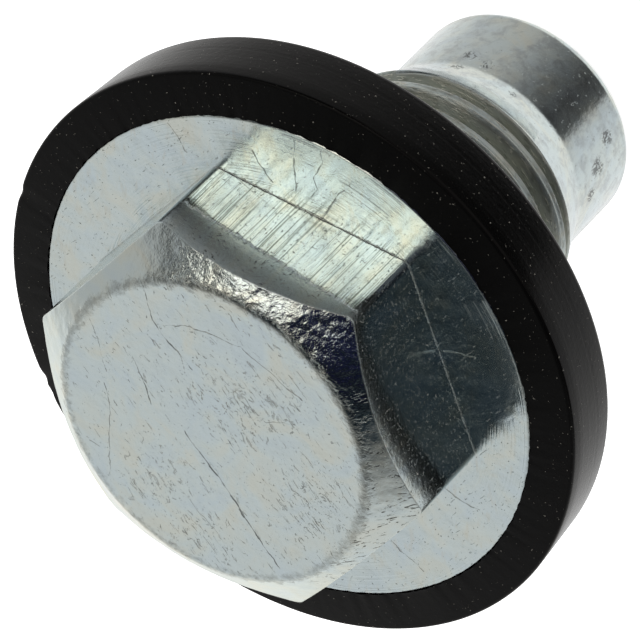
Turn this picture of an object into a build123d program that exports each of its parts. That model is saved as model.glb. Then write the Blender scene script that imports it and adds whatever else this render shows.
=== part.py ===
from build123d import *
import os
from math import cos, pi, radians, tan

# An oil drain plug with a pilot point: one forged and thread-rolled steel body with a wrench hexagon
# on a round flange, and a moulded rubber seal ring that grips the flange's rim and covers its underside.
# Millimetres. The plug stands on the flat end of its pilot point, with its axis on Z and its head up.

# Pilot point, the plain nose that finds the hole before the thread does. It lies this far inside the
# thread's crests, and widens to them in a long cone, on which the first turns of the thread run out
PILOT_STEP = 1.1
PILOT_LENGTH = 5.2
PILOT_EDGE_R = 0.6
LEAD_ANGLE = 20.5

# Thread, metric M14, drawn at its full outer diameter, with its lead cone and its short slope to the neck
THREAD_D = 14.0
THREAD_PITCH = 1.5
THREAD_LENGTH = 12.8
RUN_OUT_ANGLE = 45.0
THREAD_DEPTH_PER_PITCH = 0.6134

# Plain neck between the thread and the flange, as thick as the blank that the thread was rolled on
NECK_LENGTH = 1.8
NECK_ROOT_BEVEL = 0.4

# Flange, with a groove round its rim that keys the seal ring
FLANGE_D = 26.4
FLANGE_THICKNESS = 2.8
FLANGE_EDGE_BEVEL = 0.2
RIM_GROOVE_DEPTH = 0.6
RIM_GROOVE_WIDTH = 0.9

# Wrench hexagon
HEX_SIDES = 6
HEX_ACROSS_FLATS = 18.0
HEX_HEIGHT = 6.5
HEX_CORNER_R = 0.3
HEX_ROOT_R = 0.3
HEX_TOP_INSET = 0.9
CHAMFER_ANGLE = 35.0
CHAMFER_BLEND_R = 0.8

# Seal ring, an L in section: a wall round the rim and a sealing layer below the flange, clear of the thread
SEAL_WALL = 2.05
SEAL_TAPER = 0.22
SEAL_FRONT_STEP = 0.15
SEAL_LAYER = 1.3
SEAL_BORE_CLEARANCE = 2.2
SEAL_FRONT_BEVEL = 0.2
SEAL_REAR_BEVEL = 0.35
SEAL_BORE_BEVEL = 0.2

# Heights on the axis, counted up from the end of the pilot point
THREAD_FOOT = PILOT_LENGTH
NECK_FOOT = THREAD_FOOT + THREAD_LENGTH
FLANGE_BACK = NECK_FOOT + NECK_LENGTH
FLANGE_FACE = FLANGE_BACK + FLANGE_THICKNESS

# Radii that follow from the sizes above
THREAD_R = THREAD_D / 2
PILOT_R = THREAD_R - PILOT_STEP
NECK_R = THREAD_R - THREAD_DEPTH_PER_PITCH * THREAD_PITCH / 2
RIM_R = FLANGE_D / 2
SEAL_R = RIM_R + SEAL_WALL
SEAL_BORE_R = THREAD_R + SEAL_BORE_CLEARANCE
HEX_TOP_R = HEX_ACROSS_FLATS / 2 - HEX_TOP_INSET
HEX_CLEAR_R = HEX_ACROSS_FLATS / 2 / cos(pi / HEX_SIDES) + HEX_CORNER_R


def rim_points():
    """The flange's rim from its back to its front, with the keying groove, as radius and height."""
    groove_r = RIM_R - RIM_GROOVE_DEPTH
    groove_middle = FLANGE_BACK + FLANGE_THICKNESS / 2
    low = groove_middle - RIM_GROOVE_WIDTH / 2
    high = groove_middle + RIM_GROOVE_WIDTH / 2
    return [(RIM_R, FLANGE_BACK), (RIM_R, low), (groove_r, low), (groove_r, high), (RIM_R, high)]


def turned(points, rounded=(), bevelled=()):
    """Turns an outline, given as radius and height, about Z. Each corner that is shaped has its own size."""
    outline = Polygon(*points, align=None)
    for shaping, corners in ((fillet, rounded), (chamfer, bevelled)):
        for (radius, height), size in corners:
            corner = outline.vertices().sort_by_distance(Vector(radius, height))[0]
            outline = shaping(corner, size)
    return revolve(Plane.XZ * outline, axis=Axis.Z)


def shank_and_flange():
    """Everything round about the axis: pilot point, thread, neck and flange."""
    thread_full_from = THREAD_FOOT + (THREAD_R - PILOT_R) / tan(radians(LEAD_ANGLE))
    thread_full_to = NECK_FOOT - (THREAD_R - NECK_R) / tan(radians(RUN_OUT_ANGLE))
    outline = [(0, 0), (PILOT_R, 0), (PILOT_R, THREAD_FOOT), (THREAD_R, thread_full_from),
               (THREAD_R, thread_full_to), (NECK_R, NECK_FOOT), (NECK_R, FLANGE_BACK)]
    outline += rim_points() + [(RIM_R, FLANGE_FACE), (0, FLANGE_FACE)]
    bevels = [((NECK_R, FLANGE_BACK), NECK_ROOT_BEVEL), ((RIM_R, FLANGE_FACE), FLANGE_EDGE_BEVEL)]
    return turned(outline, rounded=[((PILOT_R, 0), PILOT_EDGE_R)], bevelled=bevels)


def wrench_head():
    """The hexagon on the flange, with two corners on the X axis and a turned chamfer round its top."""
    outline = RegularPolygon(HEX_ACROSS_FLATS / 2, HEX_SIDES, major_radius=False)
    prism = extrude(fillet(outline.vertices(), HEX_CORNER_R), HEX_HEIGHT)
    chamfer_foot = HEX_HEIGHT - (HEX_CLEAR_R - HEX_TOP_R) * tan(radians(CHAMFER_ANGLE))
    rim = (HEX_TOP_R, HEX_HEIGHT)
    envelope = turned([(0, 0), (HEX_CLEAR_R, 0), (HEX_CLEAR_R, chamfer_foot), rim, (0, HEX_HEIGHT)],
                      rounded=[(rim, CHAMFER_BLEND_R)])
    return Pos(Z=FLANGE_FACE) * (prism & envelope)


def plug_body():
    """The steel body, with a small fillet where the hexagon's sides meet the flange."""
    body = shank_and_flange() + wrench_head()
    root = [edge for edge in body.edges().filter_by_position(Axis.Z, FLANGE_FACE, FLANGE_FACE)
            if Vector(edge.center().X, edge.center().Y).length < HEX_CLEAR_R]
    return fillet(root, HEX_ROOT_R)


def seal_ring():
    """The rubber ring, moulded on to the rim and the flange's back."""
    front = FLANGE_FACE - SEAL_FRONT_STEP
    rear = FLANGE_BACK - SEAL_LAYER
    rear_r = SEAL_R - SEAL_TAPER
    shaped = [((SEAL_BORE_R, rear), SEAL_BORE_BEVEL), ((rear_r, rear), SEAL_REAR_BEVEL),
              ((SEAL_R, front), SEAL_FRONT_BEVEL)]
    outline = [(SEAL_BORE_R, FLANGE_BACK)] + [corner for corner, size in shaped] + [(RIM_R, front)]
    outline += reversed(rim_points())
    return turned(outline, bevelled=shaped)


os.makedirs("parts", exist_ok=True)
for name, make in (("plug_body", plug_body), ("seal_ring", seal_ring)):
    solid = make()
    solid.label = name
    export_step(solid, f"parts/{name}.step")
    print(name, f"{solid.volume:.1f} mm3")
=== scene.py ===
# %% [markdown]
# # An oil drain plug
# A drain plug closes the hole in the bottom of an engine's oil pan. The steel part is cold forged: a wrench
# hexagon on a round flange, a threaded shank and a plain pilot point that finds the hole. A black rubber
# ring is moulded round the flange and seals it. We load the measured solids as a frame, model each part
# again with the wear and finish that the eye sees, and let the new parts stand for the solids.

# %% Load the frame
import bpy
from math import cos, hypot, pi, radians, sin, tan
from mathutils import Matrix, Vector


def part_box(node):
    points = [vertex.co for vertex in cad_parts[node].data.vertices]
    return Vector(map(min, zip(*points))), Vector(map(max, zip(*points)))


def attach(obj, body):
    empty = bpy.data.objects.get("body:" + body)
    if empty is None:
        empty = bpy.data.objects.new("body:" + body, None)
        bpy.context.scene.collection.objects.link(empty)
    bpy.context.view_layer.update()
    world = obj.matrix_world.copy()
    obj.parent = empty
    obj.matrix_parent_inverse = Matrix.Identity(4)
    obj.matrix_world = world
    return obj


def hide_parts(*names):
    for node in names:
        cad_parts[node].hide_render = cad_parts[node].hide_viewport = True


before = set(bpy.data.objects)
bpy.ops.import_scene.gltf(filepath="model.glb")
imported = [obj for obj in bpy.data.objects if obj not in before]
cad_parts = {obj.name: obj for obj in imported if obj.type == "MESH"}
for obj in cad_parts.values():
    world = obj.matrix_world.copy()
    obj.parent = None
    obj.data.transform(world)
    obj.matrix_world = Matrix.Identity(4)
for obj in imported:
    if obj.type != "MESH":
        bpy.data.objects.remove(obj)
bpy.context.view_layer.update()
MM = 0.001
print("nodes in the frame:", ", ".join(sorted(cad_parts)))

# %% [markdown]
# ## Sizes
# Blender works in metres here, but a part this small is drawn in millimetres, so sizes are written in
# millimetres and every point passes through one factor. The plug stands on its pilot point with its axis on
# Z. Heights that the frame already holds are read from it, so the two models cannot drift apart.

# %% Sizes in millimetres
HEAD_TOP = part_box("plug_body")[1].z / MM
FLANGE_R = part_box("plug_body")[1].x / MM
SEAL_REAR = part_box("seal_ring")[0].z / MM
SEAL_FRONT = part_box("seal_ring")[1].z / MM
SEAL_R = 15.25
FLANGE_FACE = HEAD_TOP - 6.5
FLANGE_BACK = FLANGE_FACE - 2.8
NECK_FOOT = FLANGE_BACK - 1.8
THREAD_R = 7.0
PITCH = 1.5
PILOT_R = 5.9
PILOT_LENGTH = 5.2
NECK_R = 6.54
ACROSS_FLATS = 18.0
print(f"head top at {HEAD_TOP:.2f} mm, flange face at {FLANGE_FACE:.2f} mm")

# %% [markdown]
# ## Selecting
# An operator works on whatever is selected, so each new piece starts from an empty selection. These helpers
# do what a hand does between two steps: leave edit mode, pick one piece, and apply what was added to it.


# %% Helpers for selecting
def fresh():
    """Leaves edit mode and selects nothing."""
    if bpy.context.object and bpy.context.object.mode == "EDIT":
        bpy.ops.object.mode_set(mode="OBJECT")
    bpy.ops.object.select_all(action="DESELECT")


def only(piece):
    """Makes a piece the one selected and active object."""
    fresh()
    piece.select_set(True)
    bpy.context.view_layer.objects.active = piece


def apply_all(piece):
    """Applies every modifier of a piece, in order."""
    only(piece)
    for modifier in list(piece.modifiers):
        bpy.ops.object.modifier_apply(modifier=modifier.name)


def named(name):
    """Names the active object and its mesh."""
    piece = bpy.context.object
    piece.name = piece.data.name = name
    return piece


# %% [markdown]
# ## Turning
# A round part is easiest to make as on a lathe: one vertex is extruded from point to point into half a
# section, and the spin operator carries that line round the axis. The points that meet on the axis and at
# the seam are merged, and the faces are then turned outwards, because spin can leave a shape inside out.

# %% Helpers for turned parts
ROUND_STEPS = 192
MERGE_GAP = 0.0005


def draw_line(name, points):
    """Draws an open line in the XZ plane through points given as radius and height in millimetres."""
    fresh()
    bpy.ops.mesh.primitive_plane_add(size=MM)
    piece = named(name)
    bpy.ops.object.mode_set(mode="EDIT")
    bpy.ops.mesh.merge(type="CENTER")
    here = Vector((points[0][0], 0, points[0][1]))
    bpy.ops.transform.translate(value=here * MM)
    for radius, height in points[1:]:
        there = Vector((radius, 0, height))
        bpy.ops.mesh.extrude_region_move(TRANSFORM_OT_translate={"value": (there - here) * MM})
        here = there
    bpy.ops.mesh.select_all(action="SELECT")
    return piece


def turned(name, points, steps=ROUND_STEPS):
    """Spins a line round the axis into a closed solid with its faces outwards."""
    piece = draw_line(name, points)
    bpy.ops.mesh.spin(steps=steps, angle=2 * pi, center=(0, 0, 0), axis=(0, 0, 1))
    bpy.ops.mesh.select_all(action="SELECT")
    bpy.ops.mesh.remove_doubles(threshold=MERGE_GAP * MM)
    bpy.ops.mesh.normals_make_consistent(inside=False)
    bpy.ops.object.mode_set(mode="OBJECT")
    print(name + ":", len(piece.data.polygons), "faces")
    return piece


def arc(middle, radius, start, stop, steps):
    """Points on an arc in the section, with angles in degrees from the radius direction."""
    angles = [radians(start + (stop - start) * i / steps) for i in range(steps + 1)]
    return [(middle[0] + radius * cos(a), middle[1] + radius * sin(a)) for a in angles]


# %% [markdown]
# ## The forged blank of the head
# The head begins as a round lump, forged in a die that gives it a flat top and a chamfer. We turn that form
# from a half section: the chamfer is a cone, and a small arc blends it into the flat. It reaches a little
# way down into the flange, so that the two can be joined later.

# %% The turned head
SUNK = 0.6
TOP_R = 8.1
CHAMFER_ANGLE = 35
BLEND_R = 0.5
BLANK_R = 11.2

slope = radians(CHAMFER_ANGLE)
setback = BLEND_R * tan(slope / 2)
blend = arc((TOP_R - setback, HEAD_TOP - BLEND_R), BLEND_R, 90 - CHAMFER_ANGLE, 90, 6)
foot = HEAD_TOP - (BLANK_R - TOP_R) * tan(slope)
low = FLANGE_FACE - SUNK
head = turned("wrench_head", [(0, low), (BLANK_R, low), (BLANK_R, foot)] + blend + [(0, HEAD_TOP)])

# %% [markdown]
# ## Forged lumps
# Steel that flows in a die comes out a little lumpy where the die did not press it flat, and here that is
# the chamfer. The lumps could be sculpted, but a pattern does as well and gives the same result each time. A
# voxel remesh gives the head an even net, and two displace modifiers push it by cloud patterns. A vertex
# group keeps them off the flat top, and makes them strongest on the side where the forging is roughest.

# %% The even net and the lumps
NET = 0.1
LUMPS = (("broad", 1.4, 0.11), ("small", 0.4, 0.05))
ROUGH_AZIMUTH = -100
CALM_SHARE = 0.3


def ramp01(value, low, high):
    """Goes from 0 to 1 as a value goes from low to high."""
    return min(max((value - low) / (high - low), 0), 1)


remesh = head.modifiers.new("net", "REMESH")
remesh.mode = "VOXEL"
remesh.voxel_size = NET * MM
apply_all(head)
print("head net:", len(head.data.polygons), "faces")

group = head.vertex_groups.new(name="forged")
rough_side = Vector((cos(radians(ROUGH_AZIMUTH)), sin(radians(ROUGH_AZIMUTH))))
for vertex in head.data.vertices:
    radius = hypot(vertex.co.x, vertex.co.y)
    chamfered = ramp01(radius / MM, TOP_R - 0.3, TOP_R + 0.3) * ramp01(vertex.normal.z, 0.25, 0.6)
    facing = (vertex.co.x * rough_side.x + vertex.co.y * rough_side.y) / max(radius, MM)
    strength = CALM_SHARE + (1 - CALM_SHARE) * ramp01(facing, 0.75, 0.97)
    group.add([vertex.index], chamfered * strength, "REPLACE")
for lump, size, height in LUMPS:
    texture = bpy.data.textures.new(lump, "CLOUDS")
    texture.noise_scale = size * MM
    texture.noise_depth = 1
    displace = head.modifiers.new(lump, "DISPLACE")
    displace.texture = texture
    displace.texture_coords = "LOCAL"
    displace.vertex_group = "forged"
    displace.strength = height * MM
    displace.mid_level = 0.55
apply_all(head)

# %% [markdown]
# ## The trimming die
# The lump is then pushed through a six-sided die that shears off all that stands outside the hexagon. So the
# sides come out flat, and their edge against the rough chamfer is sharp and wavy. We do the same: the lumpy
# head is intersected with a six-sided prism, whose corners have the die's small rounding.

# %% The sheared hexagon
CORNER_ROUND = 0.28
DIE_DEPTH = 10
DIE_BELOW_TOP = 3


def combine(piece, other, operation):
    """Joins, cuts or intersects a piece with another, which is then removed."""
    modifier = piece.modifiers.new(operation, "BOOLEAN")
    modifier.operation = operation
    modifier.object = other
    modifier.solver = "EXACT"
    apply_all(piece)
    bpy.data.objects.remove(other)
    print(piece.name, "after", operation.lower() + ":", len(piece.data.polygons), "faces")


fresh()
corner_r = ACROSS_FLATS / 2 / cos(pi / 6)
die_middle = (0, 0, (HEAD_TOP - DIE_BELOW_TOP) * MM)
bpy.ops.mesh.primitive_cylinder_add(vertices=6, radius=corner_r * MM, depth=DIE_DEPTH * MM,
                                    rotation=(0, 0, pi / 6), location=die_middle)
die = named("trimming_die")
bpy.ops.object.transform_apply()
bevel = die.modifiers.new("corners", "BEVEL")
bevel.width = CORNER_ROUND * MM
bevel.segments = 4
bevel.angle_limit = radians(40)
apply_all(die)
combine(head, die, "INTERSECT")

# %% [markdown]
# ## Flange, neck and pilot point
# These are plain turned forms, so one half section is spun round the axis. The flange's rim has the groove
# that the rubber grips. The pilot point widens in a plain cone to the thread. Under the thread the blank is
# thinner, because rolling pushes steel out of the roots and up into the crests.

# %% The turned blank
GROOVE_DEPTH = 0.6
GROOVE_HALF = 0.45
EDGE_BEVEL = 0.2
PILOT_EDGE_R = 0.6
LEAD_END = 7.66
LEAD_ANGLE = 20.5
ROOT_R = THREAD_R - 0.6134 * PITCH
CORE_INSET = 0.3
NECK_FILLET = 0.4

rim_middle = (FLANGE_FACE + FLANGE_BACK) / 2
groove_r = FLANGE_R - GROOVE_DEPTH
core_r = ROOT_R - CORE_INSET
lead_r = PILOT_R + (LEAD_END - PILOT_LENGTH) * tan(radians(LEAD_ANGLE))
section = [(0, 0)] + arc((PILOT_R - PILOT_EDGE_R, PILOT_EDGE_R), PILOT_EDGE_R, -90, 0, 8)
section += [(PILOT_R, PILOT_LENGTH - 0.3), (PILOT_R + 0.03, PILOT_LENGTH + 0.05), (lead_r, LEAD_END)]
section += [(lead_r - 0.05, LEAD_END + 0.1), (core_r, LEAD_END + 0.6), (core_r, NECK_FOOT - 0.4)]
section += [(NECK_R, NECK_FOOT + 0.1), (NECK_R, FLANGE_BACK - NECK_FILLET)]
section += [(NECK_R + NECK_FILLET, FLANGE_BACK), (FLANGE_R, FLANGE_BACK)]
section += [(FLANGE_R, rim_middle - GROOVE_HALF), (groove_r, rim_middle - GROOVE_HALF)]
section += [(groove_r, rim_middle + GROOVE_HALF), (FLANGE_R, rim_middle + GROOVE_HALF)]
section += [(FLANGE_R, FLANGE_FACE - EDGE_BEVEL), (FLANGE_R - EDGE_BEVEL, FLANGE_FACE), (0, FLANGE_FACE)]
body = turned("plug_body_visual", section)

# %% [markdown]
# ## The thread
# The thread is metric, 14 mm over the crests with a pitch of 1.5 mm, and right-handed. It could be a bump in
# the finish, but its outline shows, so it is real. One tooth is drawn as a line one pitch long, and the
# screw modifier winds it up, turn on turn. Rolled threads keep a fine seam on the crest where the two flanks
# of displaced steel met, so the crest has a small notch.

# %% The wound tooth
STEPS_PER_TURN = 120
CREST_AT = 8.72
CREST_AZIMUTH = 245
CREST_R = 6.96
CREST_HALF = 0.22
SEAM = 0.09
ROOT_HALF = 0.57
TURNS_BELOW = 3
WOUND_TURNS = 11

start = (CREST_AT - PITCH * CREST_AZIMUTH / 360) % PITCH + TURNS_BELOW * PITCH
half_line = [(CREST_R, CREST_HALF - 0.05), (CREST_R - 0.04, CREST_HALF)]
half_line += [(ROOT_R, ROOT_HALF), (ROOT_R, PITCH / 2)]
tooth_line = [(radius, start - rise) for radius, rise in reversed(half_line)] + [(CREST_R - SEAM, start)]
tooth_line += [(radius, start + rise) for radius, rise in half_line]
thread = draw_line("thread_turns", tooth_line)
bpy.ops.object.mode_set(mode="OBJECT")
screw = thread.modifiers.new("wind", "SCREW")
screw.axis = "Z"
screw.angle = 2 * pi
screw.screw_offset = PITCH * MM
screw.iterations = WOUND_TURNS
screw.steps = screw.render_steps = STEPS_PER_TURN
apply_all(thread)
print("wound thread:", len(thread.data.polygons), "faces")

# %% [markdown]
# ## The ends of the thread
# The wound strip is open at both ends, so its ends are filled and it becomes a rod. The first turn of a
# rolled thread grows out of the lead cone, and the last one dies away at the neck. To get both, the rod is
# intersected with a turned sleeve that slopes at each end and starts inside the cone. Then all is one piece
# of steel, as on the real plug. The joins leave some points doubled, so those are welded.

# %% The rod, its sleeve and the whole body
PAST_CREST = THREAD_R + 0.2
INSIDE = 0.2
SLEEVE_FOOT = LEAD_END - 0.36
SLEEVE_INSET = 0.24

bpy.ops.object.mode_set(mode="EDIT")
bpy.ops.mesh.select_all(action="SELECT")
bpy.ops.mesh.remove_doubles(threshold=MERGE_GAP * MM)
bpy.ops.mesh.select_all(action="DESELECT")
bpy.ops.mesh.select_non_manifold(extend=False)
bpy.ops.mesh.fill_holes(sides=0)
bpy.ops.mesh.select_all(action="SELECT")
bpy.ops.mesh.normals_make_consistent(inside=False)
bpy.ops.object.mode_set(mode="OBJECT")

sleeve_r = lead_r - SLEEVE_INSET
sleeve_line = [(0, SLEEVE_FOOT), (sleeve_r, SLEEVE_FOOT), (PAST_CREST, SLEEVE_FOOT + PAST_CREST - sleeve_r)]
sleeve_line += [(PAST_CREST, NECK_FOOT + NECK_R - PAST_CREST), (NECK_R - INSIDE, NECK_FOOT + INSIDE)]
sleeve_line += [(0, NECK_FOOT + INSIDE)]
sleeve = turned("thread_sleeve", sleeve_line)
combine(thread, sleeve, "INTERSECT")
combine(body, thread, "UNION")
combine(body, head, "UNION")
bpy.ops.object.mode_set(mode="EDIT")
bpy.ops.mesh.select_all(action="SELECT")
bpy.ops.mesh.remove_doubles(threshold=MERGE_GAP * MM)
bpy.ops.object.mode_set(mode="OBJECT")
print("body welded:", len(body.data.polygons), "faces")

# %% [markdown]
# ## The seal ring
# The ring is moulded on to the flange: liquid rubber fills a mould round the steel and grips the groove in
# the rim. We turn its section, an L with its front sloping a little outwards. It has more steps round than
# the steel, because its wide outer edge shows against a white ground.

# %% The turned rubber
SEAL_BORE_R = 9.2
SEAL_TAPER = 0.22
FRONT_DROP = 0.05
LIP_R = 13.08
REAR_R = 0.35
FRONT_R = 0.2
WALL_HEIGHT = 3.3
RING_STEPS = 384

seal_line = [(SEAL_BORE_R, FLANGE_BACK), (SEAL_BORE_R, SEAL_REAR + 0.2), (SEAL_BORE_R + 0.2, SEAL_REAR)]
seal_line += arc((SEAL_R - SEAL_TAPER - REAR_R, SEAL_REAR + REAR_R), REAR_R, -90, 0, 5)
seal_line += [(SEAL_R - SEAL_TAPER * (1 - part), SEAL_REAR + REAR_R + part * WALL_HEIGHT)
              for part in (0.25, 0.5, 0.75)]
seal_line += arc((SEAL_R - FRONT_R, SEAL_FRONT - FRONT_DROP - FRONT_R), FRONT_R, 0, 86, 4)
seal_line += [(FLANGE_R + 0.1, FLANGE_FACE - 0.03), (LIP_R, FLANGE_FACE + 0.01)]
seal_line += [(FLANGE_R, FLANGE_FACE - EDGE_BEVEL), (FLANGE_R, rim_middle + GROOVE_HALF)]
seal_line += [(groove_r, rim_middle + GROOVE_HALF), (groove_r, rim_middle - GROOVE_HALF)]
seal_line += [(FLANGE_R, rim_middle - GROOVE_HALF), (FLANGE_R, FLANGE_BACK), (SEAL_BORE_R, FLANGE_BACK)]
ring = turned("seal_ring_visual", seal_line, RING_STEPS)

# %% [markdown]
# ## Flash and nicks
# Flash, the thin film that creeps between mould and steel, leaves a ragged inner lip. So the vertices of
# that lip are moved at random, with a fixed seed so that each run gives the same rag. A few nicks from
# handling are pushed into the outer edge, each at a listed place.

# %% The ragged lip and the nicks
RAG = 0.045
RAG_SEED = 3
NICKS = ((-6, 22.4, 0.1, 0.5), (35, 22.4, 0.14, 0.45), (38, 22.2, 0.08, 0.5))

bpy.ops.object.mode_set(mode="EDIT")
bpy.ops.mesh.select_all(action="DESELECT")
bpy.ops.object.mode_set(mode="OBJECT")
for vertex in ring.data.vertices:
    radius = hypot(vertex.co.x, vertex.co.y) / MM
    vertex.select = abs(radius - LIP_R) < 0.01 and vertex.co.z > FLANGE_FACE * MM
bpy.ops.object.mode_set(mode="EDIT")
bpy.ops.transform.vertex_random(offset=RAG * MM, normal=0.0, uniform=1.0, seed=RAG_SEED)
bpy.ops.object.mode_set(mode="OBJECT")
for azimuth, height, depth, reach in NICKS:
    a = radians(azimuth)
    middle = Vector((SEAL_R * cos(a), SEAL_R * sin(a), height)) * MM
    for vertex in ring.data.vertices:
        near = 1 - (vertex.co - middle).length / (reach * MM)
        if near > 0:
            vertex.co -= Vector((cos(a), sin(a), 0.4)) * depth * near * MM
print("nicks:", len(NICKS))

# %% [markdown]
# ## Smooth shading
# The round walls must look round and the machined corners sharp. Faces that meet at less than a crease angle
# are shaded as one surface, and steeper ones keep their edge.

# %% Smooth shading
CREASE = 30

for piece in (body, ring):
    only(piece)
    bpy.ops.object.shade_smooth_by_angle(angle=radians(CREASE))
print("crease angle:", CREASE, "degrees")

# %% [markdown]
# ## Nodes
# A material is a small network of nodes. One function adds a node with its settings and feeds its inputs,
# and another turns the usual hex colours into the linear values that light is reckoned in. Every pattern
# reads the object's own coordinates, scaled so that one unit is a millimetre, and so its size can be checked
# against the real surface.


# %% Nodes and colours
def linear(code):
    """Turns an sRGB hex colour into the linear values that a shader takes."""
    parts = [int(code[i:i + 2], 16) / 255 for i in (1, 3, 5)]
    return [c / 12.92 if c <= 0.04045 else ((c + 0.055) / 1.055) ** 2.4 for c in parts] + [1.0]


def add(tree, kind, *values, feed=None, **settings):
    """Adds a node with its settings, and feeds its live inputs in order from values or by name from feed.

    An input takes a plain value, an output of another node, or a whole node for its first live output.
    """
    node = tree.nodes.new("ShaderNode" + kind)
    for key, value in settings.items():
        setattr(node, key, value)
    pairs = list(zip([socket for socket in node.inputs if socket.enabled], values))
    pairs += [(node.inputs[key], value) for key, value in (feed or {}).items()]
    for socket, value in pairs:
        if isinstance(value, bpy.types.Node):
            value = next(output for output in value.outputs if output.enabled)
        if isinstance(value, bpy.types.NodeSocket):
            tree.links.new(value, socket)
        else:
            socket.default_value = value
    return node


def blank_material(name):
    """Makes an empty material and returns it with its node tree and its coordinates in millimetres."""
    material = bpy.data.materials.new(name)
    material.use_nodes = True
    tree = material.node_tree
    tree.nodes.clear()
    place = add(tree, "TexCoord").outputs["Object"]
    return material, tree, add(tree, "VectorMath", place, 1 / MM, operation="SCALE")


# %% [markdown]
# ## Masks
# Most marks on metal are masks: black where there is nothing, white where the mark is. They are made from
# other values in three ways, so each way gets a name. Values are added up by shares, masks are multiplied,
# and a value that passes between two levels fades from nothing to full.


# %% Helpers for masks
def total(tree, start, *parts):
    """Adds to a start value a share of each of some patterns."""
    for pattern, share in parts:
        start = add(tree, "Math", pattern, share, start, operation="MULTIPLY_ADD")
    return start


def both(tree, mask, *masks):
    """Where all the masks are."""
    for other in masks:
        mask = add(tree, "Math", mask, other, operation="MULTIPLY")
    return mask


def between(tree, value, low, high):
    """Rises smoothly from 0 to 1 as a value goes from low to high, or falls if low is the larger."""
    return add(tree, "MapRange", value, low, high, interpolation_type="SMOOTHSTEP")


def near(tree, mm, spots, core):
    """Full within a share of the reach of any spot, and gone past its reach, all in millimetres."""
    mask = 0.0
    for spot, reach in spots:
        away = add(tree, "VectorMath", mm, spot, operation="DISTANCE")
        mask = add(tree, "Math", between(tree, away, reach, reach * core), mask, operation="MAXIMUM")
    return mask


def polar(tree, mm):
    """Distance from the plug's axis in millimetres, the angle round it in radians, and the height."""
    axes = add(tree, "SeparateXYZ", mm).outputs
    flat = add(tree, "VectorMath", mm, (1, 1, 0), operation="MULTIPLY")
    angle = add(tree, "Math", axes["Y"], axes["X"], operation="ARCTAN2")
    return add(tree, "VectorMath", flat, operation="LENGTH"), angle, axes["Z"]


def round_side(tree, angle, azimuth, wide, none):
    """A mask on one side of the plug: full within some degrees of an azimuth, and gone at others."""
    turn = add(tree, "Math", total(tree, -radians(azimuth), (angle, 1.0)), operation="COSINE")
    return between(tree, turn, cos(radians(none)), cos(radians(wide)))


# %% [markdown]
# ## Patterns
# Wear is never even, so its patterns come from noise. These helpers give the noise a real size and turn it
# into what is seen on metal and rubber: clouds, dents drawn out along one way, round specks of dust, and the
# fine ridges that a tool leaves.


# %% Helpers for patterns
def clouds(tree, mm, size, detail=3.0, rough=0.5, warp=0.0):
    """Noise with features of a size in millimetres. Three sizes give a pattern drawn out along an axis."""
    sizes = size if isinstance(size, tuple) else (size, size, size)
    feed = {"Vector": add(tree, "VectorMath", mm, sizes, operation="DIVIDE"), "Scale": 1.0,
            "Detail": detail, "Roughness": rough, "Distortion": warp}
    return add(tree, "TexNoise", feed=feed)


def ridges(tree, along, spacing, detail):
    """Uneven ridges across a length, with their spacing in millimetres."""
    feed = {"W": add(tree, "Math", along, spacing, operation="DIVIDE"), "Scale": 1.0, "Detail": detail}
    return add(tree, "TexNoise", feed=feed, noise_dimensions="1D")


def flecks(tree, mm, size, share, more=0.0, edge=0.04, warp=0.0):
    """Ragged spots or dashes where a noise passes a level. A mask can lower that level to leave more."""
    level = total(tree, clouds(tree, mm, size, 2.0, 0.6, warp), (more, 0.06))
    return between(tree, level, share, share + edge)


def specks(tree, mm, spacing, radius, share):
    """Scattered round spots, at most one in each cell of a Voronoi pattern."""
    cells = add(tree, "TexVoronoi", feed={"Vector": mm, "Scale": 1 / spacing}).outputs
    chance = add(tree, "SeparateColor", cells["Color"]).outputs
    size = total(tree, radius / spacing * 0.4, (chance[1], radius / spacing * 0.8))
    inside = between(tree, add(tree, "Math", cells["Distance"], size, operation="DIVIDE"), 1.0, 0.4)
    return both(tree, inside, add(tree, "Math", chance[0], share, operation="LESS_THAN"))


def heading_mm(tree, mm, heading):
    """The same coordinates turned, so that X runs along a heading in degrees."""
    feed = {"Vector": mm, "Rotation": (0, 0, radians(heading))}
    return add(tree, "Mapping", feed=feed, vector_type="TEXTURE")


def colour_ramp(tree, factor, stops):
    """A colour that follows a factor, with each stop's place from 0 to 1 and its colour."""
    ramp = add(tree, "ValToRGB", factor)
    elements = ramp.color_ramp.elements
    while len(elements) < len(stops):
        elements.new(0.5)
    for element, (place, colour) in zip(elements, stops):
        element.position = place
        element.color = linear(colour)
    return ramp


# %% [markdown]
# ## Long scratches
# A long scratch has one place that the eye knows, so it can't come from noise. Each is a few points joined
# by straight runs, and its mask is the distance to the nearest run. A slow noise bends it, and another one
# makes it wide here and hair thin there, as when a sharp corner skips over steel.

# %% Helper for scratches
SWAY = 0.5
SWAY_SCALE = 0.8
FAR = 10.0
THINNEST = 0.125


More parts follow.
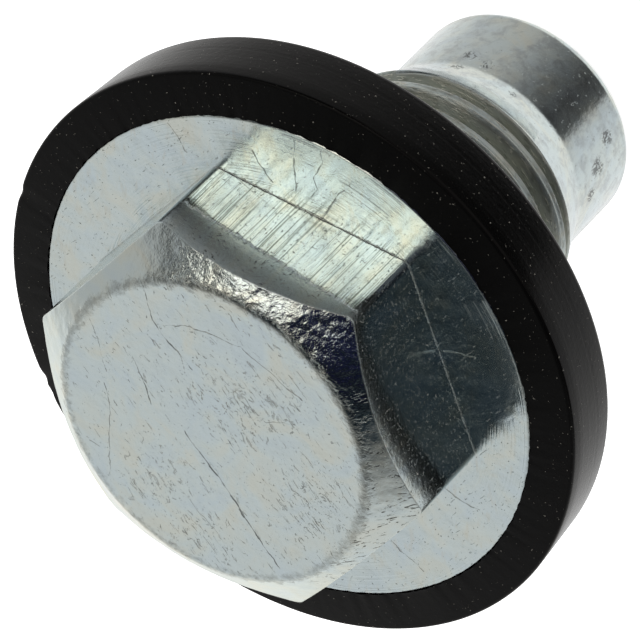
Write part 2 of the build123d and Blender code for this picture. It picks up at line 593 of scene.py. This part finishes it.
def scratches(tree, mm, lines, height):
    """Long scratches, each a width and given points in millimetres, bent a little and uneven."""
    sway = add(tree, "TexNoise", feed={"Vector": mm, "Scale": SWAY_SCALE, "Detail": 3.0}).outputs["Color"]
    sway = add(tree, "VectorMath", sway, (0.5, 0.5, 0.5), operation="SUBTRACT")
    bent = add(tree, "VectorMath", sway, (SWAY, SWAY, 0), mm, operation="MULTIPLY_ADD")
    nearest = FAR
    for width, *points in lines:
        for start, stop in zip(points, points[1:]):
            run = Vector((stop[0] - start[0], stop[1] - start[1], 0))
            here = add(tree, "VectorMath", bent, (*start, height), operation="SUBTRACT")
            along = add(tree, "VectorMath", here, run / run.length_squared, operation="DOT_PRODUCT")
            foot = add(tree, "VectorMath", run, add(tree, "Clamp", along), operation="SCALE")
            away = add(tree, "VectorMath", here, foot, operation="DISTANCE")
            away = add(tree, "Math", away, width, operation="DIVIDE")
            nearest = add(tree, "Math", away, nearest, operation="MINIMUM")
    swell = add(tree, "Math", total(tree, -1.7, (clouds(tree, mm, 0.5), 5)), THINNEST, operation="MAXIMUM")
    return between(tree, add(tree, "Math", nearest, swell, operation="DIVIDE"), 1.0, 0.2)


# %% [markdown]
# ## Zinc plate with clear chromate
# The steel is zinc plated and dipped in clear chromate. Zinc reflects a little less red than green and blue,
# and the chromate film adds faint straw and blue clouds, like a thin soap film. It is a bare metal to the
# eye, so it is fully metallic with no paint layer, and nearly all that we see on it is reflection. Its marks
# must therefore be dents first and dark spots second: each finish adds up a height in millimetres, and a
# bump node turns that into tilted reflections. A bevel node rounds every edge a little for the light, which
# costs no faces.

# %% The plating
EDGE_R = 0.12
ZINC_BLUE, ZINC, ZINC_STRAW = "#d2dfe3", "#d7e2e1", "#dce1d9"
steel_finishes = []


def plating(tree, mm, size):
    """The colour of the plate, with its faint clouds."""
    film = clouds(tree, mm, size, 3.0, 0.55, 0.6)
    return colour_ramp(tree, film, ((0.34, ZINC_BLUE), (0.5, ZINC), (0.66, ZINC_STRAW)))


def finish_steel(tree, colour, roughness, height, marks):
    """Lays marks over the plate. Each is a mask, a depth in millimetres, a colour and how strong it is."""
    for mask, depth, tone, strength in marks:
        height = total(tree, height, (mask, depth))
        colour = add(tree, "Mix", both(tree, mask, strength), colour, linear(tone), data_type="RGBA")
    edges = add(tree, "Bevel", EDGE_R * MM, samples=6)
    bump = add(tree, "Bump", feed={"Height": height, "Distance": MM, "Strength": 1.0, "Normal": edges})
    feed = {"Base Color": colour, "Metallic": 1.0, "Roughness": roughness, "Normal": bump}
    add(tree, "OutputMaterial", add(tree, "BsdfPrincipled", feed=feed))


def keep(material):
    """Keeps a finish for the body and prints how much went into it."""
    steel_finishes.append(material)
    print(material.name + ":", len(material.node_tree.nodes), "nodes")


# %% [markdown]
# ## The forged top
# The top was pressed flat by the punch and then knocked about in a bin with its fellows, so it has short
# dents that mostly run one way, small pits, and a few long scratches. The places of the long ones and of
# the dented patches are listed. The edge of the flat is a narrow ragged line, and past it the
# chamfer is rough on the side where the lumps are.

# %% The finish of the top and chamfer
DENT_HEADING = 140
DENTED = ((-3.0, -3.6, 3.4), (-5.6, 1.2, 4.2), (-0.2, 6.2, 3.6), (2.3, 4.5, 3.0), (-0.9, -2.2, 3.8))
TOP_SCRATCHES = ((0.032, (4.7, -6.4), (3.9, -4.7), (2.9, -3.9), (1.6, -3.0)),
                 (0.032, (4.7, -2.0), (3.8, -0.6), (3.3, 0.2)),
                 (0.036, (1.4, 0.7), (-1.5, 3.2), (-4.5, 5.9)), (0.085, (-1.3, 3.0), (-2.3, 3.9)),
                 (0.075, (-2.7, 4.3), (-3.3, 4.8)),
                 (0.032, (3.2, -4.8), (2.0, -5.4), (-0.6, -5.7), (-2.7, -5.0), (-4.2, -4.4)),
                 (0.022, (5.9, 0.3), (5.2, 2.6), (4.9, 5.6)), (0.022, (7.1, -3.0), (5.9, -0.4)),
                 (0.022, (-1.2, -2.6), (-2.6, -2.2), (-4.0, -2.9)))
WORN_AZIMUTH = 178
WORN_HEADING = 25


def forged_zinc():
    """The plate on the flat top and on the forged chamfer."""
    material, tree, mm = blank_material("zinc_plate_on_forged_steel")
    radius, angle, _ = polar(tree, mm)
    fine = clouds(tree, mm, 0.3, 4.0, 0.65)
    past_edge = total(tree, -0.5 - TOP_R, (radius, 1.0), (clouds(tree, mm, 0.4, 4.0, 0.7), 1.0))
    chamfer = between(tree, past_edge, -0.05, 0.2)
    flat = total(tree, 1.0, (chamfer, -1.0))
    edge = both(tree, between(tree, past_edge, -0.4, -0.05), between(tree, past_edge, 0.35, 0.1))
    lumpy = both(tree, chamfer, round_side(tree, angle, ROUGH_AZIMUTH, 22, 55))
    worn = both(tree, chamfer, round_side(tree, angle, WORN_AZIMUTH, 15, 50))
    dent_mm = heading_mm(tree, mm, DENT_HEADING)
    patches = near(tree, mm, [((x, y, HEAD_TOP), reach) for x, y, reach in DENTED], 0.0)
    dents = flecks(tree, dent_mm, (0.5, 0.15, 0.5), 0.695, patches, warp=1.2)
    dashes = flecks(tree, dent_mm, (1.1, 0.1, 1.1), 0.725, patches, warp=0.4)
    knocks = flecks(tree, dent_mm, (1.0, 0.4, 1.0), 0.67, patches, warp=1.4)
    pits = flecks(tree, mm, 0.2, 0.7, patches, warp=0.8)
    cuts = flecks(tree, heading_mm(tree, mm, WORN_HEADING), (0.7, 0.16, 0.5), 0.62, warp=1.5)
    marks = ((both(tree, edge, total(tree, -0.35, (fine, 1.6))), -0.02, "#73746d", 0.75),
             (both(tree, dents, flat), -0.035, "#8f9594", 0.5),
             (both(tree, dashes, flat), -0.025, "#7f8584", 0.6),
             (both(tree, knocks, flat), -0.04, "#a2a8a6", 0.4),
             (both(tree, pits, flat), -0.02, "#858a89", 0.7),
             (both(tree, cuts, worn), -0.03, "#4c4a44", 0.85),
             (scratches(tree, mm, TOP_SCRATCHES, HEAD_TOP), -0.018, "#7f8483", 0.75))
    lumps = both(tree, clouds(tree, mm, 0.3, 4.0, 0.6), lumpy)
    height = total(tree, 0.0, (clouds(tree, mm, 1.6, 4.0, 0.6), 0.03), (fine, 0.006), (lumps, 0.045))
    finish_steel(tree, plating(tree, mm, 2.2), total(tree, 0.1, (fine, 0.14)), height, marks)
    return material


keep(forged_zinc())

# %% [markdown]
# ## The sheared sides
# The trimming die cut the six sides from the flange upwards, and its worn edges drew fine lines along the
# axis. Above a slanting border the steel is still smooth from forging, and duller. Not all six cutting edges
# were worn alike, so every second side is strongly lined and the others are nearly clean. At the root the
# steel tore, which leaves a ragged dark line.

# %% The finish of the sides
TORN = 0.2
SHEARED = 4.6
SLANT = 1.3
ELSEWHERE = (7, 3, 5)


def sheared_zinc():
    """The plate on the six sides."""
    material, tree, mm = blank_material("zinc_plate_on_sheared_steel")
    _, angle, tall = polar(tree, mm)
    sides = add(tree, "Math", total(tree, 1.5 * pi, (angle, 3.0)), operation="COSINE")
    lined_side = between(tree, sides, -0.15, 0.15)
    along = add(tree, "Math", total(tree, 1.0, (angle, 1.5 / pi)), operation="FRACT")
    border = total(tree, tall, (clouds(tree, mm, 0.35, 4.0, 0.6), 0.7), (along, SLANT * 2))
    sheared = between(tree, border, FLANGE_FACE + SHEARED + 0.3, FLANGE_FACE + SHEARED)
    skin = both(tree, total(tree, 1.0, (sheared, -1.0)), lined_side)
    fine = clouds(tree, mm, (0.07, 0.07, 9.0), 3.0, 0.6)
    lines = total(tree, fine, (clouds(tree, mm, (0.5, 0.5, 16.0), 2.0, 0.5), 1.6))
    lines = both(tree, lines, sheared, total(tree, 0.12, (lined_side, 0.88)))
    tear = clouds(tree, mm, 0.16, 4.0, 0.7)
    torn = between(tree, total(tree, tall, (tear, 0.3)), FLANGE_FACE + TORN + 0.03, FLANGE_FACE + TORN)
    torn = both(tree, torn, between(tree, clouds(tree, mm, 0.25, 3.0), 0.38, 0.5))
    other_mm = add(tree, "VectorMath", mm, ELSEWHERE, operation="ADD")
    marks = ((both(tree, between(tree, fine, 0.46, 0.38), sheared, lined_side), 0.0, "#7f8883", 0.8),
             (flecks(tree, mm, 0.17, 0.64), -0.03, "#646b6c", 0.8),
             # painted glints: bright specks in the colour, raised a little by the bump
             (flecks(tree, other_mm, 0.16, 0.68), 0.03, "#f4f4ee", 0.8),
             (both(tree, torn, lined_side), 0.0, "#4b4a3f", 0.7),
             (skin, 0.0, "#98a5aa", 0.5),
             (both(tree, flecks(tree, mm, 0.16, 0.64), skin), -0.02, "#3c4244", 0.7))
    waves = clouds(tree, mm, 0.5, 4.0, 0.55)
    height = total(tree, 0.0, (lines, 0.016), (waves, 0.008), (both(tree, tear, torn), 0.1))
    roughness = total(tree, 0.15, (skin, 0.09), (torn, 0.3))
    finish_steel(tree, plating(tree, mm, (1.0, 1.0, 6.0)), roughness, height, marks)
    return material


keep(sheared_zinc())

# %% [markdown]
# ## The flange
# The flange was pressed between turned tools, so it carries their fine rings, about a tenth of a millimetre
# apart, and a few cracks and scratches that run outwards from the hexagon. Bare steel shows faintly brown
# in some of its pits.

# %% The finish of the flange
RING_SPACING = 0.1
FLANGE_SCRATCHES = ((0.034, (3.5, -10.9), (3.1, -10.4), (2.2, -9.7)),
                    (0.034, (1.5, -12.6), (1.2, -10.9), (0.9, -9.7)),
                    (0.034, (0.1, -12.8), (-0.1, -12.1), (0.2, -11.1), (-0.1, -10.5), (0.3, -9.6)),
                    (0.034, (-1.4, -11.2), (-1.0, -10.4), (-0.7, -9.5)), (0.034, (7.9, -10.1), (6.7, -9.0)),
                    (0.034, (-7.8, -5.1), (-9.4, -5.6)), (0.034, (-9.2, 2.9), (-11.1, 3.1)),
                    (0.034, (-7.0, 7.5), (-9.0, 8.3)))


def flange_zinc():
    """The plate on the flange and its rim."""
    material, tree, mm = blank_material("zinc_plate_on_pressed_flange")
    radius, _, _ = polar(tree, mm)
    shown = between(tree, clouds(tree, mm, 2.5), 0.4, 0.6)
    rings = both(tree, ridges(tree, radius, RING_SPACING, 2.0), shown)
    brown = flecks(tree, heading_mm(tree, mm, 100), (1.2, 0.4, 1.0), 0.56, edge=0.15)
    ticks = flecks(tree, heading_mm(tree, mm, 60), (0.4, 0.1, 0.4), 0.68)
    marks = ((brown, 0.0, "#d3c8b0", 0.2),
             (ticks, -0.012, "#8d9291", 0.6),
             (flecks(tree, mm, 0.17, 0.68), -0.014, "#6d7170", 0.75),
             (scratches(tree, mm, FLANGE_SCRATCHES, FLANGE_FACE), -0.05, "#a9aca6", 0.35))
    waves, grain = clouds(tree, mm, 0.9, 3.0), clouds(tree, mm, 0.2, 3.0)
    height = total(tree, 0.0, (rings, 0.014), (waves, 0.02), (grain, 0.003))
    finish_steel(tree, plating(tree, mm, 2.0), 0.16, height, marks)
    return material


keep(flange_zinc())

# %% [markdown]
# ## The finish of the thread
# Rolling leaves the flanks dull. The grooves are painted darker, as painted shade, and the crests are
# painted bright, partly as wear where they rub on everything and partly as a painted highlight. So the
# colour follows the distance from the axis, and bright dashes along the thread are painted glints. The grain
# of rolling runs round the shank, so the pattern's coordinates are wound round it too: length round, radius
# and height.


# %% The finish of the thread
def thread_zinc():
    """The plate on the thread's crests, flanks and roots."""
    material, tree, mm = blank_material("zinc_plate_on_rolled_thread")
    radius, angle, tall = polar(tree, mm)
    wound_mm = add(tree, "CombineXYZ", both(tree, angle, THREAD_R), radius, tall)
    streaks = clouds(tree, wound_mm, (0.8, 0.12, 0.12), 4.0, 0.6)
    # painted highlight on the crests, partly real wear where they rub
    crest_wear_and_highlight = between(tree, total(tree, radius, (streaks, 0.3)), CREST_R + 0.1, CREST_R + 0.2)
    # painted shade: the colour darkens towards the roots of the grooves
    marks = ((between(tree, radius, CREST_R - 0.02, CREST_R - 0.25), 0.0, "#b9bbb0", 0.7),
             (flecks(tree, wound_mm, (0.7, 0.25, 0.25), 0.52, edge=0.2), -0.01, "#83867b", 0.5),
             (crest_wear_and_highlight, 0.0, "#e6e7e0", 0.8),
             # painted glints: bright dashes in the colour, raised a little by the bump
             (flecks(tree, wound_mm, (0.6, 0.1, 0.1), 0.63), 0.07, "#f4f5ea", 1.0))
    finish_steel(tree, plating(tree, mm, 1.2), 0.34, both(tree, streaks, 0.03), marks)
    return material


keep(thread_zinc())

# %% [markdown]
# ## The pilot point
# The point keeps the smooth skin of the drawn wire that the plug was forged from. It is satin rather than
# bright, a little cloudy, and has ragged pits in small groups, whose places are listed.

# %% The finish of the point
PITTED = ((-85, 4.55, 0.45), (-97, 6.1, 0.4), (-104, 5.6, 0.35), (-152, 1.9, 0.6), (-161, 3.2, 0.7),
          (-172, 4.0, 0.5), (-74, 4.2, 0.5), (-74, 5.6, 0.5))


def pilot_zinc():
    """The plate on the pilot point, the lead cone and the neck."""
    material, tree, mm = blank_material("zinc_plate_on_drawn_steel")
    spots = [((PILOT_R * cos(radians(azimuth)), PILOT_R * sin(radians(azimuth)), height), reach)
             for azimuth, height, reach in PITTED]
    groups = near(tree, mm, spots, 0.4)
    pits = flecks(tree, mm, (0.24, 0.24, 0.36), 0.53, groups, edge=0.08, warp=1.5)
    marks = ((between(tree, clouds(tree, mm, 0.7, 5.0, 0.7, 0.3), 0.42, 0.68), 0.0, "#b4bbbd", 0.7),
             (both(tree, pits, groups), -0.03, "#65696a", 0.85),
             (flecks(tree, mm, 0.22, 0.68), -0.006, "#9da2a2", 0.5))
    waves, grain = clouds(tree, mm, 1.1, 4.0, 0.6), clouds(tree, mm, 0.25, 3.0)
    height = total(tree, 0.0, (waves, 0.02), (grain, 0.003))
    finish_steel(tree, plating(tree, mm, 1.8), 0.12, height, marks)
    return material


keep(pilot_zinc())

# %% [markdown]
# ## Nitrile rubber
# Oil seals are black nitrile rubber, coloured with soot. It takes almost all light in, and what comes back
# is a thin gloss. The mould was matt on the front and smoother on the outside, so the front is dull and the
# outer wall shines where we look along it. Fine dust sticks to both.

# %% The rubber finishes
RUBBER, DUST = "#020202", "#8d8a80"
RIDGE_SPACING = 0.22


def rubber(name, roughness, gloss, ridge_depth):
    """Black rubber with dust. Its ridges are the mould's fine rings on the outer wall."""
    material, tree, mm = blank_material(name)
    tall = add(tree, "SeparateXYZ", mm).outputs["Z"]
    lint, grit = specks(tree, mm, 0.7, 0.05, 0.2), flecks(tree, mm, 0.15, 0.7)
    dust = add(tree, "Math", lint, grit, operation="MAXIMUM")
    height = total(tree, 0.0, (clouds(tree, mm, 0.3, 4.0, 0.6), 0.01), (dust, 0.02),
                   (ridges(tree, tall, RIDGE_SPACING, 3.0), ridge_depth))
    bump = add(tree, "Bump", feed={"Height": height, "Distance": MM, "Strength": 1.0})
    colour = add(tree, "Mix", both(tree, dust, 0.5), linear(RUBBER), linear(DUST), data_type="RGBA")
    feed = {"Base Color": colour, "Roughness": roughness, "IOR": 1.5, "Specular IOR Level": gloss,
            "Normal": bump}
    add(tree, "OutputMaterial", add(tree, "BsdfPrincipled", feed=feed))
    return material


matt_rubber = rubber("nitrile_rubber_matt", 0.45, 0.12, 0.0)
smooth_rubber = rubber("nitrile_rubber_smooth", 0.2, 0.14, 0.005)
print("rubber finishes:", matt_rubber.name, "and", smooth_rubber.name)

# %% [markdown]
# ## Each face gets its finish
# The steel is one piece with five finishes. Which one a face gets follows from its height on the axis and
# from the way it faces, so no face is picked by its number.

# %% Finishes to faces
FORGED, SHEARED_SIDE, FLANGE, THREAD, PILOT = range(5)


def steel_finish(face):
    """The finish of one face of the body."""
    height = face.center.z / MM
    if height > FLANGE_FACE + 0.01:
        return SHEARED_SIDE if face.normal.z < 0.4 or height < FLANGE_FACE + 0.2 else FORGED
    if height > FLANGE_BACK - 0.01:
        return FLANGE
    return THREAD if LEAD_END + 0.05 < height < NECK_FOOT + 0.05 else PILOT


body.data.materials.clear()
for material in steel_finishes:
    body.data.materials.append(material)
for face in body.data.polygons:
    face.material_index = steel_finish(face)
ring.data.materials.clear()
ring.data.materials.append(matt_rubber)
ring.data.materials.append(smooth_rubber)
for face in ring.data.polygons:
    face.material_index = 0 if face.normal.z > 0.7 else 1
print("finishes on the body and the ring:", len(body.data.materials), len(ring.data.materials))

# %% [markdown]
# ## The floor
# Small parts are often photographed on a light table, a sheet of opal acrylic lit from below, because it
# takes away the shadow. The sheet glows a little, and it is hidden from mirror reflections, so that what the
# steel reflects from below is set with the rest of the surroundings.

# %% The light table
FLOOR_SIZE = 8
FLOOR_GLOW = 0.75

fresh()
bpy.ops.mesh.primitive_plane_add(size=FLOOR_SIZE)
floor = named("floor")
acrylic, tree, _ = blank_material("opal_acrylic_light_table")
feed = {"Base Color": linear("#f2f2f2"), "Roughness": 0.8, "Specular IOR Level": 0.0,
        "Emission Color": (1, 1, 1, 1), "Emission Strength": FLOOR_GLOW}
add(tree, "OutputMaterial", add(tree, "BsdfPrincipled", feed=feed))
floor.data.materials.append(acrylic)
floor.visible_glossy = False
print("light table:", FLOOR_SIZE, "m across")

# %% [markdown]
# ## What the steel reflects
# Polished metal is a picture of its room. Here a bright room lies behind and below the plug, as seen by the
# camera, and the dark end of the room lies in front and above. The upper surroundings therefore follow one
# angle, away from the bright side. Below the horizon the steel sees the table, which lies in the shade of
# the plug's own head towards the camera, with one hard edge. A photograph of a room could be wrapped round
# the scene instead, but colour ramps are easier to set one reflection at a time.

# %% The colours of the surroundings
BRIGHT_SIDE = (70, -50)
ROOM = ((40, "#fffcf5"), (72, "#dcdcdc"), (94, "#d5d5d5"), (106, "#a4a29f"), (119, "#6f6d6a"),
        (128, "#28323a"), (141, "#08090c"), (152, "#0a0d20"), (165, "#141838"))
TABLE = ((-180, "#d8d8d8"), (-164, "#c4c2c0"), (-156, "#555453"), (-135, "#414040"), (-108, "#656463"),
         (-62, "#b2b0ae"), (-7, "#cbc9c7"), (25, "#e8e7e5"), (60, "#ffffff"), (145, "#edecea"),
         (180, "#d8d8d8"))
LOBES = ((-120, 0, 20, 50, "#ada9a4"), (-178, -14, 14, 34, "#555351"), (18, 20, 10, 34, "#b9b8b6"))
TABLE_CENTRE = "#f5f4f2"
HORIZON = (-26, -37)
CENTRE = (-54, -66)
BACKGROUND = 1.2


def towards(azimuth, elevation):
    """The direction of a compass angle from +X and a height angle, both in degrees."""
    a, e = radians(azimuth), radians(elevation)
    return Vector((cos(e) * cos(a), cos(e) * sin(a), sin(e)))


print("stops in the room and on the table:", len(ROOM), len(TABLE))

# %% [markdown]
# ## The world's nodes
# The room's ramp reads the angle between the ray and the bright side, and the table's ramp the compass angle
# of the ray. Soft lobes lighten the room in a few directions, as a bench or a wall does. The camera itself
# sees plain white in place of all this.

# %% The surroundings
world = bpy.data.worlds.new("studio")
bpy.context.scene.world = world
world.use_nodes = True
tree = world.node_tree
tree.nodes.clear()
ray = add(tree, "TexCoord").outputs["Generated"]
axes = add(tree, "SeparateXYZ", ray).outputs

facing = add(tree, "VectorMath", ray, towards(*BRIGHT_SIDE), operation="DOT_PRODUCT")
away = both(tree, add(tree, "Math", facing, operation="ARCCOSINE"), 1 / pi)
room = colour_ramp(tree, away, [(angle / 180, colour) for angle, colour in ROOM])
for azimuth, elevation, core, edge, colour in LOBES:
    facing = add(tree, "VectorMath", ray, towards(azimuth, elevation), operation="DOT_PRODUCT")
    share = between(tree, facing, cos(radians(edge)), cos(radians(core)))
    room = add(tree, "Mix", share, room, linear(colour), data_type="RGBA")

compass = add(tree, "Math", axes["Y"], axes["X"], operation="ARCTAN2")
turn = total(tree, 0.5, (compass, 0.5 / pi))
table = colour_ramp(tree, turn, [((angle + 180) / 360, colour) for angle, colour in TABLE])
share = between(tree, axes["Z"], *(sin(radians(angle)) for angle in CENTRE))
table = add(tree, "Mix", share, table, linear(TABLE_CENTRE), data_type="RGBA")
share = between(tree, axes["Z"], *(sin(radians(angle)) for angle in HORIZON))
seen = add(tree, "Background", add(tree, "Mix", share, room, table, data_type="RGBA"), 1.0)

plain = add(tree, "Background", (1, 1, 1, 1), BACKGROUND)
mixed = add(tree, "MixShader", add(tree, "LightPath").outputs["Is Camera Ray"], seen, plain)
add(tree, "OutputWorld", mixed)
print("nodes in the surroundings:", len(tree.nodes))

# %% [markdown]
# ## Lights
# One warm round lamp is the key. It is what the sheared side and the chamfer mirror as gold and white. A
# wide soft sun lights the table and the plug, and no reflection shows it.

# %% Key and table light
KEY_RADIANCE = 1.9
KEY_DISTANCE = 0.65
KEY_HALF_ANGLE = 16
KEY_FROM = (-66, 50)
KEY_COLOUR = (1.0, 0.93, 0.83)
SUN_STRENGTH = 2.6
SUN_ANGLE = 90

key_data = bpy.data.lights.new("key", "AREA")
key_data.shape = "DISK"
key_data.size = 2 * KEY_DISTANCE * tan(radians(KEY_HALF_ANGLE))
key_data.energy = KEY_RADIANCE * pi * pi * (key_data.size / 2) ** 2
key_data.color = KEY_COLOUR
key = bpy.data.objects.new("key", key_data)
bpy.context.scene.collection.objects.link(key)
aim = Vector((0, 0, HEAD_TOP * MM))
key.location = aim + towards(*KEY_FROM) * KEY_DISTANCE
key.rotation_euler = (aim - key.location).to_track_quat("-Z", "Y").to_euler()
key.visible_camera = False

sun_data = bpy.data.lights.new("table_light", "SUN")
sun_data.energy = SUN_STRENGTH
sun_data.angle = radians(SUN_ANGLE)
sun = bpy.data.objects.new("table_light", sun_data)
bpy.context.scene.collection.objects.link(sun)
sun.visible_glossy = False
print(f"key lamp {key_data.size / MM:.0f} mm across")

# %% [markdown]
# ## Camera
# The plug hangs in the picture with its head towards us and the point behind, turned on its side, so the
# camera looks down on the head and is rolled. A long lens from 350 mm gives the flat look of a product
# photograph.

# %% The camera
VIEW_AZIMUTH, VIEW_ELEVATION, VIEW_ROLL = -115.03, 43.22, 135.42
AIM = Vector((0.07, -0.03, 19.34)) * MM
CAMERA_DISTANCE = 349.9
LENS = 418.7

camera_data = bpy.data.cameras.new("camera")
camera_data.lens = LENS
camera_data.sensor_width = 36
camera_data.clip_start = 0.01
camera_data.clip_end = 20
camera = bpy.data.objects.new("camera", camera_data)
bpy.context.scene.collection.objects.link(camera)
forward = -towards(VIEW_AZIMUTH, VIEW_ELEVATION)
side = forward.cross(Vector((0, 0, 1))).normalized()
level_up = side.cross(forward)
up = level_up * cos(radians(VIEW_ROLL)) + side * sin(radians(VIEW_ROLL))
axes = Matrix((forward.cross(up), up, -forward)).transposed()
camera.matrix_world = Matrix.Translation(AIM - forward * CAMERA_DISTANCE * MM) @ axes.to_4x4()
bpy.context.scene.camera = camera
bpy.context.scene.view_settings.view_transform = "Standard"
print(f"camera {CAMERA_DISTANCE:.0f} mm away with a {LENS:.0f} mm lens")

# %% [markdown]
# ## Tie the pieces to the frame
# The two new pieces stand for the two solids and ride on the one rigid body.

# %% Pieces and sizes
PIECES = ((body, "plug_body", "zinc_plated_steel"), (ring, "seal_ring", "black_rubber"))

for piece, node_name, slot in PIECES:
    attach(piece, "root")
    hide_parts(node_name)
print("faces on the body and the ring:", len(body.data.polygons), len(ring.data.polygons))
